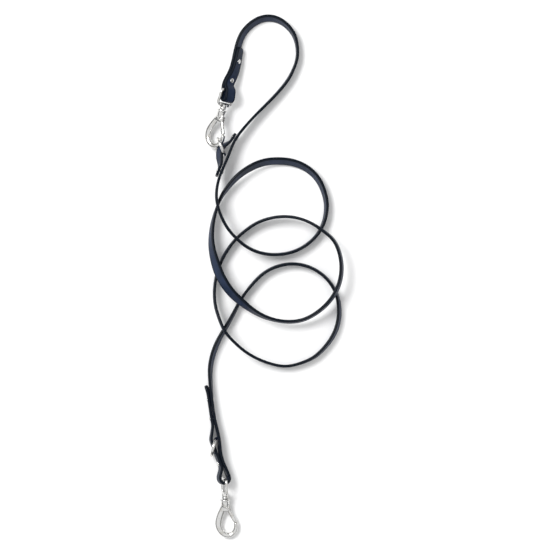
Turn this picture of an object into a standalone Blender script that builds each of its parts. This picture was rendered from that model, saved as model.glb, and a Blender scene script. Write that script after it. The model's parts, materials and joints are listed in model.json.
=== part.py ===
"""Training leash: a long flat leather strap with a riveted swivel snap hook at each end, two rings
and the strap's folds, laid down in three loose coils. Metres, +Z up, floor at Z = 0."""

import math

import bmesh
import bpy
import numpy as np
from mathutils import Matrix, Vector

MM = 0.001

# Strap
STRAP_WIDTH = 15 * MM
STRAP_THICKNESS = 3.5 * MM
STRAP_CORNER = 0.6 * MM
SAMPLE_STEP = 11 * MM
LAYER_STEP = 4 * MM
END_STEP = 2 * MM
BUTT_GAP = 0.4 * MM
SMOOTHED = 2.5 * MM

# Rivets
RIVET_HEAD_RADIUS = 2.7 * MM
RIVET_DOME = 0.9 * MM
RIVET_STEM_RADIUS = 1.2 * MM
RIVET_HOLE_RADIUS = 1.5 * MM
RIVET_CLEARANCE = 0.3 * MM
RIVET_SIDES = 12

# Rings
RING_RADIUS = 11 * MM
RING_WIRE_RADIUS = 1.8 * MM

# Swivel eye. In a hook's own frame -Y runs from the eye to the bow, and Y = 0 is the swivel's face.
EYE_WIDTH = 21.2 * MM
EYE_BAR_Y = 25 * MM
EYE_BASE_Y = 6 * MM
EYE_WIRE_RADIUS = 1.8 * MM
EYE_CORNER_RADIUS = 4 * MM
BASE_SIZE = (17 * MM, 5.2 * MM, 5.4 * MM)
BOSS_RADIUS = 4.2 * MM
BOSS_FACE_Y = 0.3 * MM
POST_RADIUS = 2.2 * MM
POST_HEAD_RADIUS = 3.1 * MM
POST_HEAD_Y = (-5.9 * MM, -7.2 * MM)

# Hook body
COLLAR_FACE_Y = -0.3 * MM
COLLAR_RADIUS = 6 * MM
COLLAR_END_Y = -10 * MM
COLLAR_END_RADIUS = 4.8 * MM
BORE_RADIUS = 2.5 * MM
POCKET_RADIUS = 3.5 * MM
POCKET_Y = (-5.5 * MM, -8.2 * MM)
BODY_THICKNESS = 6.4 * MM
YOKE_THICKNESS = 7.6 * MM
EDGE_ROUND = 1.5 * MM
NOSE_HALF_WIDTH = 2.6 * MM
# Centre line of the bow from the yoke round to the nose: x, y and half width.
BOW_LINE = (
    (-1.0, -7.0, 3.6), (-3.4, -12.5, 3.6), (-6.2, -19.0, 3.9), (-8.6, -26.0, 4.2), (-9.4, -33.0, 4.1),
    (-7.4, -40.0, 3.7), (-2.8, -45.0, 3.4), (2.6, -46.7, 3.3), (7.8, -45.0, 3.1), (11.3, -40.8, 2.9),
    (12.6, -36.0, 2.7), (12.5, -32.2, 2.6),
)
YOKE_OUTLINE = ((-5.2, -5.0), (5.6, -5.0), (6.6, -10.0), (6.2, -15.0), (1.0, -15.0), (-5.6, -13.0))

# Gate, its pin and its spring
PIN_PLACE = (3.0 * MM, -11.6 * MM)
PIN_RADIUS = 0.8 * MM
PIN_HOLE_RADIUS = 1.1 * MM
PIN_LENGTH = 7.2 * MM
GATE_TIP = (10.8 * MM, -27.5 * MM)
GATE_THICKNESS = 4.4 * MM
GATE_EDGE_ROUND = 0.8 * MM
GATE_SLOT = 5 * MM
YOKE_SLOT_SIZE = (13 * MM, 14 * MM)
YOKE_SLOT_ASIDE, YOKE_SLOT_TOP = 3.9 * MM, -7.6 * MM
PIN_HOLE_LENGTH = 12 * MM
GATE_ROOT_RADIUS = 2.3 * MM
GATE_HALF_WIDTH = 2.1 * MM
SPRING_SLOT = 2.4 * MM
SPRING_SLOT_LENGTH, SPRING_SLOT_OVERRUN = 8 * MM, 0.5 * MM
SPRING_COIL_RADIUS = 1.6 * MM
SPRING_WIRE_RADIUS = 0.2 * MM
SPRING_TURNS = 3
SPRING_PITCH = 0.5 * MM

# The strap's route from the upper fold to the lower one: x, y, height of the lower edge, and lean.
# The lean is in degrees, and tips the upper edge to the left of the way along the strap.
ROUTE = (
    # upper fold and riveted end
    (-0.0581, 0.2215, 0.0124, 48), (-0.0571, 0.2304, 0.0119, 48), (-0.0557, 0.2395, 0.0108, 45),
    (-0.0515, 0.2490, 0.0080, 38), (-0.0472, 0.2620, 0.0055, 30), (-0.0446, 0.2755, 0.0035, 25),
    (-0.0415, 0.2895, 0.0015, 23),
    # hand loop
    (-0.0360, 0.3025, 0.0003, 22), (-0.0260, 0.3135, 0.0000, 22), (-0.0150, 0.3200, 0.0000, 22),
    (-0.0030, 0.3220, 0.0000, 21), (0.0090, 0.3190, 0.0000, 17), (0.0200, 0.3110, 0.0000, 12),
    (0.0280, 0.2995, 0.0000, 8), (0.0315, 0.2860, 0.0000, 4), (0.0315, 0.2730, 0.0000, 3),
    (0.0275, 0.2595, 0.0000, 4), (0.0200, 0.2450, 0.0000, 6), (0.0100, 0.2320, 0.0005, 6),
    (-0.0010, 0.2200, 0.0015, 5), (-0.0130, 0.2080, 0.0030, 4), (-0.0255, 0.1950, 0.0050, 3),
    # past the tab that holds the handle ring
    (-0.0360, 0.1830, 0.0065, 3), (-0.0435, 0.1730, 0.0080, 3), (-0.0490, 0.1630, 0.0085, 2),
    (-0.0532, 0.1525, 0.0090, 2), (-0.0570, 0.1430, 0.0100, 2), (-0.0615, 0.1325, 0.0120, 2),
    (-0.0655, 0.1220, 0.0145, 2), (-0.0682, 0.1105, 0.0170, 1), (-0.0690, 0.0995, 0.0190, 0),
    (-0.0675, 0.0870, 0.0200, 0),
    # first coil
    (-0.0625, 0.0725, 0.0190, -1), (-0.0545, 0.0580, 0.0173, -2), (-0.0450, 0.0470, 0.0165, -2),
    (-0.0325, 0.0365, 0.0125, -3), (-0.0165, 0.0290, 0.0080, -4), (0.0010, 0.0262, 0.0040, -4),
    (0.0200, 0.0280, 0.0015, -4), (0.0370, 0.0345, 0.0003, -4), (0.0510, 0.0450, 0.0000, -4),
    (0.0610, 0.0580, 0.0000, -6), (0.0665, 0.0730, 0.0000, -9), (0.0680, 0.0895, 0.0000, -12),
    (0.0645, 0.1055, 0.0000, -15), (0.0565, 0.1215, 0.0000, -19), (0.0430, 0.1340, 0.0005, -23),
    (0.0265, 0.1410, 0.0020, -26), (0.0080, 0.1430, 0.0040, -27), (-0.0105, 0.1410, 0.0065, -26),
    (-0.0275, 0.1340, 0.0080, -23), (-0.0425, 0.1235, 0.0080, -18), (-0.0550, 0.1100, 0.0065, -11),
    (-0.0635, 0.0975, 0.0050, -4), (-0.0685, 0.0855, 0.0040, 3),
    # second coil
    (-0.0730, 0.0700, 0.0050, 9), (-0.0755, 0.0530, 0.0080, 16), (-0.0750, 0.0355, 0.0118, 26),
    (-0.0715, 0.0195, 0.0150, 37), (-0.0665, 0.0045, 0.0166, 43), (-0.0590, -0.0100, 0.0170, 42),
    (-0.0495, -0.0225, 0.0170, 38), (-0.0380, -0.0330, 0.0166, 31), (-0.0250, -0.0430, 0.0150, 20),
    (-0.0105, -0.0510, 0.0125, 12), (0.0055, -0.0560, 0.0100, 8), (0.0225, -0.0578, 0.0090, 8),
    (0.0395, -0.0550, 0.0100, 8), (0.0550, -0.0470, 0.0125, 9), (0.0685, -0.0355, 0.0150, 10),
    (0.0790, -0.0210, 0.0166, 11), (0.0850, -0.0050, 0.0173, 12), (0.0865, 0.0120, 0.0176, 11),
    (0.0835, 0.0295, 0.0175, 9), (0.0765, 0.0440, 0.0170, 7), (0.0650, 0.0545, 0.0164, 5),
    (0.0500, 0.0645, 0.0150, 3), (0.0340, 0.0710, 0.0125, 3), (0.0165, 0.0735, 0.0100, 4),
    (-0.0020, 0.0715, 0.0070, 4), (-0.0190, 0.0655, 0.0040, 4), (-0.0340, 0.0555, 0.0015, 4),
    (-0.0465, 0.0440, 0.0000, 4), (-0.0570, 0.0300, 0.0000, 5), (-0.0650, 0.0140, 0.0000, 5),
    # third coil
    (-0.0700, -0.0030, 0.0015, 4), (-0.0720, -0.0205, 0.0045, 4), (-0.0705, -0.0380, 0.0090, 5),
    (-0.0655, -0.0545, 0.0135, 5), (-0.0585, -0.0695, 0.0160, 4), (-0.0480, -0.0820, 0.0145, 3),
    (-0.0345, -0.0940, 0.0105, 3), (-0.0180, -0.1040, 0.0060, 3), (-0.0010, -0.1105, 0.0025, 3),
    (0.0170, -0.1135, 0.0003, 3), (0.0350, -0.1100, 0.0000, 4), (0.0520, -0.1025, 0.0000, 7),
    (0.0660, -0.0900, 0.0000, 10), (0.0770, -0.0745, 0.0000, 13), (0.0830, -0.0575, 0.0000, 14),
    (0.0840, -0.0405, 0.0000, 12), (0.0805, -0.0230, 0.0000, 8), (0.0715, -0.0075, 0.0000, 5),
    (0.0590, 0.0040, 0.0000, 4), (0.0425, 0.0120, 0.0000, 4), (0.0245, 0.0145, 0.0000, 4),
    (0.0055, 0.0110, 0.0000, 4), (-0.0120, 0.0015, 0.0000, 4), (-0.0255, -0.0120, 0.0000, 3),
    (-0.0375, -0.0280, 0.0000, -2), (-0.0470, -0.0455, 0.0000, -6), (-0.0575, -0.0645, 0.0000, -10),
    # lower run, riveted end and lower fold
    (-0.0665, -0.0805, 0.0000, -14), (-0.0735, -0.0980, 0.0000, -15), (-0.0770, -0.1155, 0.0003, -12),
    (-0.0770, -0.1330, 0.0009, -7), (-0.0755, -0.1500, 0.0014, -2), (-0.0732, -0.1690, 0.0020, 2),
    (-0.0700, -0.1870, 0.0035, 5), (-0.0665, -0.2035, 0.0044, 8), (-0.0650, -0.2195, 0.0045, 11),
    (-0.0620, -0.2330, 0.0052, 14), (-0.0575, -0.2435, 0.0051, 15), (-0.0545, -0.2512, 0.0048, 15),
)
# Where the strap's solids meet, as route points.
CUTS = {"handle_end": 7, "handle_loop": 21, "ring_run": 31, "coil_1": 54, "coil_2": 84, "coil_3": 111,
        "lower_run": 115}
# Clear space between the main layer and the folded layer, against the distance from the fold.
UPPER_TAIL = ((0, 5.2), (9, 5.4), (11, 4.6), (14.5, 0.9), (17, 0.35), (58, 0.35), (66, 0.6))
LOWER_TAIL = ((0, 8.9), (5, 7.6), (10, 3.5), (14, 0.6), (17, 0.35), (23, 0.35), (28, 1.1), (32, 2.1), (39, 3.9),
              (46, 6.1), (50, 6.4), (54, 5.4), (60, 3.0), (66, 0.8), (70, 0.35), (104, 0.35), (110, 1.0),
              (117, 2.4))
# The tab beside the handle ring, measured along the strap from the tab's upper end.
TAB_FROM_POINT, TAB_START, TAB_LENGTH = 23, -2 * MM, 57 * MM
TAB_SPACE = ((0, 0.4), (3, 0.35), (10, 0.4), (13, 2.0), (19, 6.9), (24, 8.8), (29, 8.2), (35, 5.4), (42, 1.4),
             (46, 0.35), (54, 0.35), (57, 0.4))
# Rivets: distance from the upper fold, from the tab's upper end, or from the lower fold.
RIVETS = {"upper_rivet_1": 22.6 * MM, "upper_rivet_2": 48 * MM, "tab_rivet_1": 5 * MM, "tab_rivet_2": 50 * MM,
          "lower_rivet_1": 19.5 * MM, "lower_rivet_2": 75 * MM, "lower_rivet_3": 99 * MM}

# Where the hooks and rings sit, and which way they point
# The bars of the eyes lie between the layers, this far inside the upper fold and outside the lower one.
UPPER_BAR_INSIDE, LOWER_BAR_OUTSIDE = 9.2 * MM, 0.9 * MM
UPPER_HOOK_YAW, UPPER_HOOK_PITCH, UPPER_BOW_ROLL = -18, -9.5, 25
LOWER_HOOK_YAW, LOWER_HOOK_PITCH = 2, -6.9
HANDLE_RING = (-0.0632, 0.1608, 0.0160)
HANDLE_RING_YAW = 21.5
LOWER_RING = (-0.0730, -0.2140, 0.0131)
LOWER_RING_YAW = -14

# Moves the finished leash so that the origin lies under the middle of its box.
CENTRING = (-2.35 * MM, 1.6 * MM, 0)

LEATHER = ("navy_leather", (0.018, 0.024, 0.042, 1), 0.5, 0)
NICKEL = ("nickel_plate", (0.78, 0.77, 0.74, 1), 0.22, 1)
SPRING_STEEL = ("spring_steel", (0.5, 0.5, 0.5, 1), 0.35, 1)


def clear_scene():
    for item in list(bpy.data.objects):
        bpy.data.objects.remove(item)


def new_collection(name, hidden=False):
    collection = bpy.data.collections.new(name)
    collection.hide_render = hidden
    bpy.context.scene.collection.children.link(collection)
    return collection


clear_scene()
LEASH = new_collection("training_leash")
HELPERS = new_collection("cutters_and_guides", hidden=True)


def material(name, colour, roughness, metallic):
    found = bpy.data.materials.get(name)
    if found:
        return found
    made = bpy.data.materials.new(name)
    made.use_nodes = True
    shader = made.node_tree.nodes["Principled BSDF"]
    shader.inputs["Base Color"].default_value = colour
    shader.inputs["Roughness"].default_value = roughness
    shader.inputs["Metallic"].default_value = metallic
    return made


def keep(item, finish):
    item.data.materials.clear()
    item.data.materials.append(material(*finish))
    return item


def helper(item):
    """Marks an object as a cutter or guide, which is no part of the leash."""
    item.hide_render = True
    item.display_type = "WIRE"
    for collection in list(item.users_collection):
        collection.objects.unlink(item)
    HELPERS.objects.link(item)
    return item


def link_to_leash(item, name):
    item.name = name
    for collection in list(item.users_collection):
        collection.objects.unlink(item)
    LEASH.objects.link(item)
    return item


# ---- the strap's path ----


def natural_spline(knots, values, at):
    """A natural cubic spline through the values, read at the given places."""
    span = np.diff(knots)
    rise = np.diff(values, axis=0) / span[:, None]
    count = len(knots)
    system = np.eye(count)
    right = np.zeros_like(values)
    for row in range(1, count - 1):
        system[row, row - 1 : row + 2] = span[row - 1], 2 * (span[row - 1] + span[row]), span[row]
        right[row] = 6 * (rise[row] - rise[row - 1])
    bend = np.linalg.solve(system, right)
    left = np.clip(np.searchsorted(knots, at) - 1, 0, count - 2)
    wide = span[left][:, None]
    after = (at - knots[left])[:, None]
    before = wide - after
    cubic = (bend[left] * before**3 + bend[left + 1] * after**3) / (6 * wide)
    low = (values[left] / wide - bend[left] * wide / 6) * before
    high = (values[left + 1] / wide - bend[left + 1] * wide / 6) * after
    return cubic + low + high


def route_knots():
    points = np.array(ROUTE, float)
    steps = np.linalg.norm(np.diff(points[:, :2], axis=0), axis=1)
    return points, np.concatenate([[0], np.cumsum(steps)])


POINTS, KNOTS = route_knots()
ROUTE_LENGTH = KNOTS[-1]


def unit(vectors):
    return vectors / np.linalg.norm(vectors, axis=-1, keepdims=True)


def strap_frames(places):
    """Centre, way along, width direction and left face normal of the main layer at each place."""
    read = natural_spline(KNOTS, POINTS, places)
    ahead = natural_spline(KNOTS, POINTS, np.minimum(places + 0.5 * MM, ROUTE_LENGTH))
    behind = natural_spline(KNOTS, POINTS, np.maximum(places - 0.5 * MM, 0))
    lean = np.radians(read[:, 3])
    height = STRAP_WIDTH * np.cos(lean) + STRAP_THICKNESS * np.abs(np.sin(lean))
    centre = np.column_stack([read[:, :2], np.maximum(read[:, 2], 0) + height / 2])
    along = unit((ahead - behind)[:, :3])
    left = unit(np.cross((0, 0, 1), along))
    up = np.cross(along, left)
    wide = np.cos(lean)[:, None] * up + np.sin(lean)[:, None] * left
    return centre, along, wide, np.cross(wide, along)


def layer_space(table, distances):
    """Centre-to-centre distance of two layers, from a table of clear spaces in millimetres."""
    knots, spaces = np.array(table, float).T
    return STRAP_THICKNESS + MM * np.interp(distances / MM, knots, spaces)


def smooth_space(table, distances):
    """layer_space averaged over a short window, so that the layer bends and doesn't kink."""
    window = np.linspace(-SMOOTHED, SMOOTHED, 9)
    return np.mean([layer_space(table, distances + shift) for shift in window], axis=0)


def beside(places, spaces):
    """Centres and width directions of a layer lying on the right of the main one."""
    centre, _, wide, normal = strap_frames(places)
    return centre - normal * spaces[:, None], wide


def tab_place(distance):
    return KNOTS[TAB_FROM_POINT] + TAB_START + distance


def bar_place(at_start, table, inside):
    """A point midway between the layers, this far inside the fold's half turn, with its width direction."""
    place = inside if at_start else ROUTE_LENGTH - inside
    centre, along, wide, normal = (v[0] for v in strap_frames(np.clip([place], 0, ROUTE_LENGTH)))
    beyond = along * max(-inside, 0) * (-1 if at_start else 1)
    space = smooth_space(table, np.array([max(inside, 0)]))[0]
    return Vector(centre - normal * space / 2 + beyond), Vector(wide)


def sample(start, end, step=SAMPLE_STEP):
    """Places from start to end, with a short step at each end so that butted faces stay square."""
    sign = 1 if end > start else -1
    inner = abs(end - start) - 2 * END_STEP
    count = max(2, round(inner / step) + 1)
    middle = np.linspace(start + sign * END_STEP, end - sign * END_STEP, count)
    return np.concatenate([[start], middle, [end]])


def fold(at_start, space, steps=7):
    """The half turn that joins the two layers at one end of the route."""
    centre, along, wide, normal = (v[0] for v in strap_frames(np.array([0 if at_start else ROUTE_LENGTH])))
    outward = -along if at_start else along
    turn = np.radians(np.linspace(0, 180, steps + 2)[1:-1])[:, None]
    middle = centre - normal * space / 2
    points = middle + space / 2 * (normal * np.cos(turn) + outward * np.sin(turn))
    return points, np.repeat(wide[None], steps, axis=0)


def tilt_of(along, wide):
    """The turn about the way along that brings the vertical profile axis onto the width direction."""
    across = unit(np.cross(along, (0, 0, 1)))
    upright = np.cross(across, along)
    return np.arctan2(np.sum(wide * across, axis=1), np.sum(wide * upright, axis=1))


def strap_profile():
    half_width, half_thick, cut = STRAP_WIDTH / 2, STRAP_THICKNESS / 2, STRAP_CORNER
    corners = [(half_thick, half_width - cut), (half_thick - cut, half_width)]
    corners += [(-x, y) for x, y in reversed(corners)]
    corners += [(-x, -y) for x, y in corners]
    curve = bpy.data.curves.new("strap_profile", "CURVE")
    curve.dimensions = "2D"
    spline = curve.splines.new("POLY")
    spline.points.add(len(corners) - 1)
    for point, (x, y) in zip(spline.points, corners):
        point.co = (x, y, 0, 1)
    spline.use_cyclic_u = True
    item = bpy.data.objects.new("strap_profile", curve)
    bpy.context.scene.collection.objects.link(item)
    return helper(item)


PROFILE = strap_profile()


def poly_curve(name, points, radii=None, tilts=None, cyclic=False):
    curve = bpy.data.curves.new(name, "CURVE")
    curve.dimensions = "3D"
    spline = curve.splines.new("POLY")
    spline.points.add(len(points) - 1)
    for index, place in enumerate(points):
        spline.points[index].co = (*place, 1)
        if radii is not None:
            spline.points[index].radius = radii[index]
        if tilts is not None:
            spline.points[index].tilt = tilts[index]
    spline.use_cyclic_u = cyclic
    item = bpy.data.objects.new(name, curve)
    LEASH.objects.link(item)
    return item


def strap_solid(name, points, wide):
    """A strap-section bar along the points, turned so that its width follows the given directions."""
    along = unit(np.gradient(points, axis=0))
    flat = wide - along * np.sum(wide * along, axis=1, keepdims=True)
    item = poly_curve(name, points, tilts=tilt_of(along, unit(flat)))
    item.data.twist_mode = "Z_UP"
    item.data.bevel_mode = "OBJECT"
    item.data.bevel_object = PROFILE
    item.data.use_fill_caps = True
    return keep(as_mesh(item), LEATHER)


def as_mesh(item):
    """The curve's evaluated mesh as an object of its own, with its caps welded on."""
    graph = bpy.context.evaluated_depsgraph_get()
    mesh = bpy.data.meshes.new_from_object(item.evaluated_get(graph))
    name, place = item.name, item.matrix_world.copy()
    bpy.data.objects.remove(item)
    made = bpy.data.objects.new(name, mesh)
    LEASH.objects.link(made)
    made.name = name
    made.matrix_world = place
    weld(mesh)
    return made


def weld(mesh):
    work = bmesh.new()
    work.from_mesh(mesh)
    bmesh.ops.remove_doubles(work, verts=work.verts, dist=0.01 * MM)
    bmesh.ops.recalc_face_normals(work, faces=work.faces)
    work.to_mesh(mesh)
    work.free()


def combine(item, other, operation):
    """Adds a live Boolean of the item with a helper object."""
    modifier = item.modifiers.new(operation.lower() + "_" + other.name, "BOOLEAN")
    modifier.operation = operation
    modifier.object = helper(other)
    modifier.solver = "EXACT"
    return item


# ---- the strap, its folds and the tab ----


def make_strap():
    upper_end, lower_start = KNOTS[CUTS["handle_end"]], KNOTS[CUTS["lower_run"]]
    half = BUTT_GAP / 2

    tail = sample(UPPER_TAIL[-1][0] * MM, 0, LAYER_STEP)
    tail_points, tail_wide = beside(tail, smooth_space(UPPER_TAIL, tail))
    turn_points, turn_wide = fold(True, smooth_space(UPPER_TAIL, np.array([0]))[0])
    main, _, main_wide, _ = strap_frames(sample(0, upper_end - half, LAYER_STEP))
    strap_solid("strap_handle_end", np.vstack([tail_points, turn_points[::-1], main]),
                np.vstack([tail_wide, turn_wide, main_wide]))

    names = list(CUTS)
    for before, name in zip(names, names[1:]):
        step = LAYER_STEP if name == "ring_run" else SAMPLE_STEP
        span = sample(KNOTS[CUTS[before]] + half, KNOTS[CUTS[name]] - half, step)
        points, _, wide, _ = strap_frames(span)
        strap_solid("strap_" + name, points, wide)

    main, _, main_wide, _ = strap_frames(sample(lower_start + half, ROUTE_LENGTH, LAYER_STEP))
    turn_points, turn_wide = fold(False, smooth_space(LOWER_TAIL, np.array([0]))[0])
    tail = sample(ROUTE_LENGTH, ROUTE_LENGTH - LOWER_TAIL[-1][0] * MM, LAYER_STEP)
    tail_points, tail_wide = beside(tail, smooth_space(LOWER_TAIL, ROUTE_LENGTH - tail))
    strap_solid("strap_lower_end", np.vstack([main, turn_points, tail_points]),
                np.vstack([main_wide, turn_wide, tail_wide]))

    span = sample(tab_place(0), tab_place(TAB_LENGTH), LAYER_STEP)
    points, wide = beside(span, smooth_space(TAB_SPACE, span - tab_place(0)))
    strap_solid("handle_ring_tab", points, wide)


# ---- rivets ----


def turned(name, profile, sides):
    """A solid turned about its own Z: the profile runs down the outer side, as radius and height."""
    mesh = bpy.data.meshes.new(name)
    edges = [(i, i + 1) for i in range(len(profile) - 1)]
    mesh.from_pydata([(r, 0, z) for r, z in profile], edges, [])
    item = bpy.data.objects.new(name, mesh)
    LEASH.objects.link(item)
    screw = item.modifiers.new("turn", "SCREW")
    screw.steps = screw.render_steps = sides
    screw.use_merge_vertices = True
    screw.merge_threshold = 0.01 * MM
    screw.use_smooth_shade = False
    return item


def place_along(item, origin, axis):
    item.matrix_world = Matrix.Translation(Vector(origin)) @ Vector(axis).to_track_quat("Z", "Y").to_matrix().to_4x4()
    return item


# For each group of rivets: place on the route of a distance, the layers' table, and the strap's node.
RIVET_GROUPS = {
    "upper": (lambda distance: distance, UPPER_TAIL, "strap_handle_end"),
    "tab": (lambda distance: tab_place(distance), TAB_SPACE, "strap_ring_run"),
    "lower": (lambda distance: ROUTE_LENGTH - distance, LOWER_TAIL, "strap_lower_end"),
}


def make_rivet(name, distance):
    """A domed head with its stem on the folded layer's face, and a domed cap on the strap's face."""
    group = name.split("_")[0]
    to_route, table, node = RIVET_GROUPS[group]
    place = to_route(distance)
    space = smooth_space(table, np.array([distance]))[0]
    centre, _, _, normal = (v[0] for v in strap_frames(np.array([place])))
    out = -normal
    reach = (space + STRAP_THICKNESS) / 2 + RIVET_CLEARANCE
    middle = centre + out * space / 2
    dome = [(0, reach + RIVET_DOME), (RIVET_HEAD_RADIUS * 0.6, reach + RIVET_DOME * 0.8),
            (RIVET_HEAD_RADIUS, reach + RIVET_DOME * 0.2), (RIVET_HEAD_RADIUS, reach)]
    stem = [(RIVET_STEM_RADIUS, reach), (RIVET_STEM_RADIUS, -reach + RIVET_CLEARANCE),
            (0, -reach + RIVET_CLEARANCE)]
    keep(place_along(turned(name + "_head", dome + stem, RIVET_SIDES), middle, out), NICKEL)
    cap = dome + [(0, reach)]
    keep(place_along(turned(name + "_cap", cap, RIVET_SIDES), middle, -out), NICKEL)

    hole = [(0, reach + 1 * MM), (RIVET_HOLE_RADIUS, reach + 1 * MM), (RIVET_HOLE_RADIUS, -reach - 1 * MM),
            (0, -reach - 1 * MM)]
    cutter = place_along(turned(name + "_hole", hole, RIVET_SIDES), middle, out)
    for pierced in [node] + (["handle_ring_tab"] if group == "tab" else []):
        combine(bpy.data.objects[pierced], cutter, "DIFFERENCE")


# ---- rings ----


def make_ring(name, centre, yaw):
    """A closed round ring standing upright, its plane turned about the vertical from the Y axis."""
    bpy.ops.mesh.primitive_torus_add(major_radius=RING_RADIUS, minor_radius=RING_WIRE_RADIUS, major_segments=36,
                                     minor_segments=10)
    item = link_to_leash(bpy.context.object, name)
    item.matrix_world = (Matrix.Translation(centre) @ Matrix.Rotation(math.radians(yaw), 4, "Z")
                         @ Matrix.Rotation(math.radians(90), 4, "Y"))
    keep(item, NICKEL)


# ---- swivel snap hook ----


def direction(yaw, pitch):
    """A unit vector that points along -Y, turned by yaw towards +X and raised by pitch."""
    turn, lift = math.radians(yaw), math.radians(pitch)
    return Vector((math.sin(turn) * math.cos(lift), -math.cos(turn) * math.cos(lift), math.sin(lift)))


def hook_frame(bar, heading, side):
    """A hook's own frame: Y against its heading, X the given side made square, and the bar at EYE_BAR_Y."""
    y = -heading
    x = (side - y * side.dot(y)).normalized()
    z = x.cross(y)
    frame = Matrix((x, y, z)).transposed().to_4x4()
    frame.translation = Vector(bar) + heading * EYE_BAR_Y
    return frame


def cylinder(name, radius, start_y, end_y, frame, far_radius=None, sides=24):
    """A round bar or a cone along a hook's own Y."""
    bpy.ops.mesh.primitive_cone_add(vertices=sides, radius1=radius, radius2=far_radius or radius,
                                    depth=abs(end_y - start_y))
    item = link_to_leash(bpy.context.object, name)
    turn = Matrix.Rotation(math.radians(90 if end_y < start_y else -90), 4, "X")
    item.matrix_world = frame @ Matrix.Translation((0, (start_y + end_y) / 2, 0)) @ turn
    return item


def cross_cylinder(name, radius, place, length, frame, sides=16):
    """A round bar along a hook's own Z."""
    bpy.ops.mesh.primitive_cylinder_add(vertices=sides, radius=radius, depth=length)
    item = link_to_leash(bpy.context.object, name)
    item.matrix_world = frame @ Matrix.Translation((*place, 0))
    return item


def box(name, size, centre, frame, turn=0, rounding=0):
    bpy.ops.mesh.primitive_cube_add(size=1)
    item = link_to_leash(bpy.context.object, name)
    item.data.transform(Matrix.Diagonal((*size, 1)))
    item.matrix_world = frame @ Matrix.Translation(centre) @ Matrix.Rotation(turn, 4, "Z")
    if rounding:
        bevel = item.modifiers.new("round", "BEVEL")
        bevel.width = rounding
        bevel.segments = 2
    return item


def plate(name, outline, thickness, rounding, frame):
    """A flat outline in a hook's own XY, with this thickness and rounded edges."""
    curve = bpy.data.curves.new(name, "CURVE")
    curve.dimensions = "2D"
    curve.fill_mode = "BOTH"
    curve.extrude = thickness / 2 - rounding
    curve.bevel_depth = rounding
    curve.bevel_resolution = 1
    curve.offset = -rounding
    spline = curve.splines.new("POLY")
    spline.points.add(len(outline) - 1)
    for point, (x, y) in zip(spline.points, outline):
        point.co = (x, y, 0, 1)
    spline.use_cyclic_u = True
    item = bpy.data.objects.new(name, curve)
    LEASH.objects.link(item)
    item.matrix_world = frame
    bpy.context.view_layer.update()
    return as_mesh(item)


def arc(centre, radius, start, end, count):
    angles = np.radians(np.linspace(start, end, count))
    return [(centre[0] + radius * math.cos(a), centre[1] + radius * math.sin(a)) for a in angles]


def bow_outline():
    """The bow's edge: its centre line, offset to both sides by its half width, with a round nose."""
    line = np.array(BOW_LINE) * MM
    steps = np.linalg.norm(np.diff(line[:, :2], axis=0), axis=1)
    knots = np.concatenate([[0], np.cumsum(steps)])
    smooth = natural_spline(knots, line, np.linspace(0, knots[-1], 26))
    middle, half = smooth[:, :2], smooth[:, 2:]
    along = unit(np.gradient(middle, axis=0))
    side = np.column_stack([-along[:, 1], along[:, 0]])
    inner, outer = middle + side * half, middle - side * half
    heading = math.degrees(math.atan2(along[-1, 1], along[-1, 0]))
    nose = arc(middle[-1], half[-1, 0], heading - 60, heading + 60, 4)
    return [tuple(p) for p in outer] + nose + [tuple(p) for p in inner[::-1]]


def gate_line():
    start, end = Vector((*PIN_PLACE, 0)), Vector((*GATE_TIP, 0))
    return start, end, (end - start).normalized()


def put_origin(item, place, frame):
    """Moves the item's origin to this place of the hook's frame, and leaves its shape where it is."""
    item.data.transform(Matrix.Translation(-Vector(place)))
    item.matrix_world = frame @ Matrix.Translation(place)


def make_eye(name, frame):
    """The D-shaped eye with its base, boss and the headed post that the hook turns on."""
    half, turn = EYE_WIDTH / 2, EYE_CORNER_RADIUS
    low, high = EYE_BASE_Y, EYE_BAR_Y
    ring = []
    for x, y, start in ((half, high, 0), (-half, high, 90), (-half, low, 180), (half, low, 270)):
        centre = (x - math.copysign(turn, x), y - turn if y == high else y + turn)
        ring += arc(centre, turn, start, start + 90, 5)
    item = poly_curve(name, [(x, y, 0) for x, y in ring], cyclic=True)
    item.data.bevel_depth = EYE_WIRE_RADIUS
    item.data.bevel_resolution = 2
    item.matrix_world = frame
    bpy.context.view_layer.update()
    eye = keep(as_mesh(item), NICKEL)
    put_origin(eye, (0, EYE_BAR_Y, 0), frame)
    combine(eye, box(name + "_base", BASE_SIZE, (0, EYE_BASE_Y, 0), frame, rounding=1.2 * MM), "UNION")
    combine(eye, cylinder(name + "_boss", BOSS_RADIUS, EYE_BASE_Y, BOSS_FACE_Y, frame), "UNION")
    combine(eye, cylinder(name + "_post", POST_RADIUS, EYE_BASE_Y - 1 * MM, POST_HEAD_Y[1], frame), "UNION")
    combine(eye, cylinder(name + "_post_head", POST_HEAD_RADIUS, *POST_HEAD_Y, frame), "UNION")


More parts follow.
